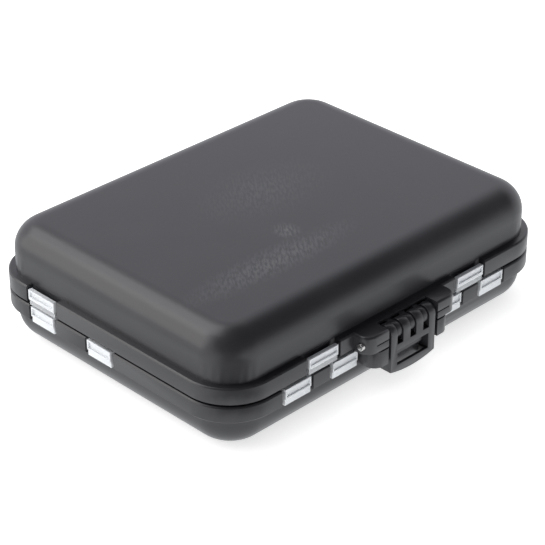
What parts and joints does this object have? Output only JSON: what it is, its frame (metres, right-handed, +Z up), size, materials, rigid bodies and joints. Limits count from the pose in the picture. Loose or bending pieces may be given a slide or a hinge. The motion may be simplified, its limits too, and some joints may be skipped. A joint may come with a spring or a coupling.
{
  "type": "tackle box",
  "caption": "Hinged pocket tackle box with a lever latch and clear lidded compartments in both halves.",
  "frame": {"origin": "centre of the flat base that the closed box stands on", "axes": "+X along the latch side, +Y from the latch towards the case hinges, +Z up from the lower half to the upper"},
  "size_m": [0.1204, 0.1019, 0.0333],
  "materials": {
    "black_plastic": "satin moulded",
    "clear_plastic": "clear moulded",
    "steel": "bright drawn wire"
  },
  "bodies": {
    "lower_half": {"lower_shell": "black_plastic", "lower_tray": "clear_plastic", "hinge_pin_left": "steel", "hinge_pin_right": "steel"},
    "upper_half": {"upper_shell": "black_plastic", "upper_tray": "clear_plastic", "latch_pin": "steel"},
    "latch": {"latch_lever": "black_plastic"},
    "lower_lid_front_1_body": {"lower_lid_front_1": "clear_plastic"},
    "lower_lid_front_2_body": {"lower_lid_front_2": "clear_plastic"},
    "lower_lid_front_3_body": {"lower_lid_front_3": "clear_plastic"},
    "lower_lid_front_4_body": {"lower_lid_front_4": "clear_plastic"},
    "lower_lid_middle_1_body": {"lower_lid_middle_1": "clear_plastic"},
    "lower_lid_middle_2_body": {"lower_lid_middle_2": "clear_plastic"},
    "lower_lid_back_1_body": {"lower_lid_back_1": "clear_plastic"},
    "lower_lid_back_2_body": {"lower_lid_back_2": "clear_plastic"},
    "upper_lid_front_1_body": {"upper_lid_front_1": "clear_plastic"},
    "upper_lid_front_2_body": {"upper_lid_front_2": "clear_plastic"},
    "upper_lid_back_1_body": {"upper_lid_back_1": "clear_plastic"},
    "upper_lid_back_2_body": {"upper_lid_back_2": "clear_plastic"}
  },
  "joints": [
    {"name": "case_hinge", "type": "hinge", "parent": "lower_half", "child": "upper_half", "pos_m": [0, 0.04865, 0.0148], "axis": [-1, 0, 0], "range_deg": [0, 164]},
    {"name": "latch_pivot", "type": "hinge", "parent": "upper_half", "child": "latch", "pos_m": [0, -0.04825, 0.0171], "axis": [-1, 0, 0], "range_deg": [0, 110]},
    {"name": "lower_lid_front_1_hinge", "type": "hinge", "parent": "lower_half", "child": "lower_lid_front_1_body", "pos_m": [0, -0.01553, 0.01345], "axis": [-1, 0, 0], "range_deg": [0, 91]},
    {"name": "lower_lid_front_2_hinge", "type": "hinge", "parent": "lower_half", "child": "lower_lid_front_2_body", "pos_m": [0, -0.01553, 0.01345], "axis": [-1, 0, 0], "range_deg": [0, 91]},
    {"name": "lower_lid_front_3_hinge", "type": "hinge", "parent": "lower_half", "child": "lower_lid_front_3_body", "pos_m": [0, -0.01553, 0.01345], "axis": [-1, 0, 0], "range_deg": [0, 91]},
    {"name": "lower_lid_front_4_hinge", "type": "hinge", "parent": "lower_half", "child": "lower_lid_front_4_body", "pos_m": [0, -0.01553, 0.01345], "axis": [-1, 0, 0], "range_deg": [0, 91]},
    {"name": "lower_lid_middle_1_hinge", "type": "hinge", "parent": "lower_half", "child": "lower_lid_middle_1_body", "pos_m": [0, 0.01173, 0.01345], "axis": [-1, 0, 0], "range_deg": [0, 91]},
    {"name": "lower_lid_middle_2_hinge", "type": "hinge", "parent": "lower_half", "child": "lower_lid_middle_2_body", "pos_m": [0, 0.01173, 0.01345], "axis": [-1, 0, 0], "range_deg": [0, 91]},
    {"name": "lower_lid_back_1_hinge", "type": "hinge", "parent": "lower_half", "child": "lower_lid_back_1_body", "pos_m": [0, 0.0395, 0.01345], "axis": [-1, 0, 0], "range_deg": [0, 91]},
    {"name": "lower_lid_back_2_hinge", "type": "hinge", "parent": "lower_half", "child": "lower_lid_back_2_body", "pos_m": [0, 0.0395, 0.01345], "axis": [-1, 0, 0], "range_deg": [0, 91]},
    {"name": "upper_lid_front_1_hinge", "type": "hinge", "parent": "upper_half", "child": "upper_lid_front_1_body", "pos_m": [0, -0.0019, 0.01615], "axis": [1, 0, 0], "range_deg": [0, 91]},
    {"name": "upper_lid_front_2_hinge", "type": "hinge", "parent": "upper_half", "child": "upper_lid_front_2_body", "pos_m": [0, -0.0019, 0.01615], "axis": [1, 0, 0], "range_deg": [0, 91]},
    {"name": "upper_lid_back_1_hinge", "type": "hinge", "parent": "upper_half", "child": "upper_lid_back_1_body", "pos_m": [0, 0.0395, 0.01615], "axis": [1, 0, 0], "range_deg": [0, 91]},
    {"name": "upper_lid_back_2_hinge", "type": "hinge", "parent": "upper_half", "child": "upper_lid_back_2_body", "pos_m": [0, 0.0395, 0.01615], "axis": [1, 0, 0], "range_deg": [0, 91]}
  ],
  "couplings": [
    {"joint": "lower_lid_front_1_hinge", "follows": "case_hinge", "ratio": 0.55},
    {"joint": "lower_lid_front_2_hinge", "follows": "case_hinge", "ratio": 0.55},
    {"joint": "lower_lid_front_3_hinge", "follows": "case_hinge", "ratio": 0.55},
    {"joint": "lower_lid_front_4_hinge", "follows": "case_hinge", "ratio": 0.55},
    {"joint": "lower_lid_middle_1_hinge", "follows": "case_hinge", "ratio": 0.55},
    {"joint": "lower_lid_middle_2_hinge", "follows": "case_hinge", "ratio": 0.55},
    {"joint": "lower_lid_back_1_hinge", "follows": "case_hinge", "ratio": 0.55},
    {"joint": "lower_lid_back_2_hinge", "follows": "case_hinge", "ratio": 0.55},
    {"joint": "upper_lid_front_1_hinge", "follows": "case_hinge", "ratio": 0.55},
    {"joint": "upper_lid_front_2_hinge", "follows": "case_hinge", "ratio": 0.55},
    {"joint": "upper_lid_back_1_hinge", "follows": "case_hinge", "ratio": 0.55},
    {"joint": "upper_lid_back_2_hinge", "follows": "case_hinge", "ratio": 0.55}
  ]
}
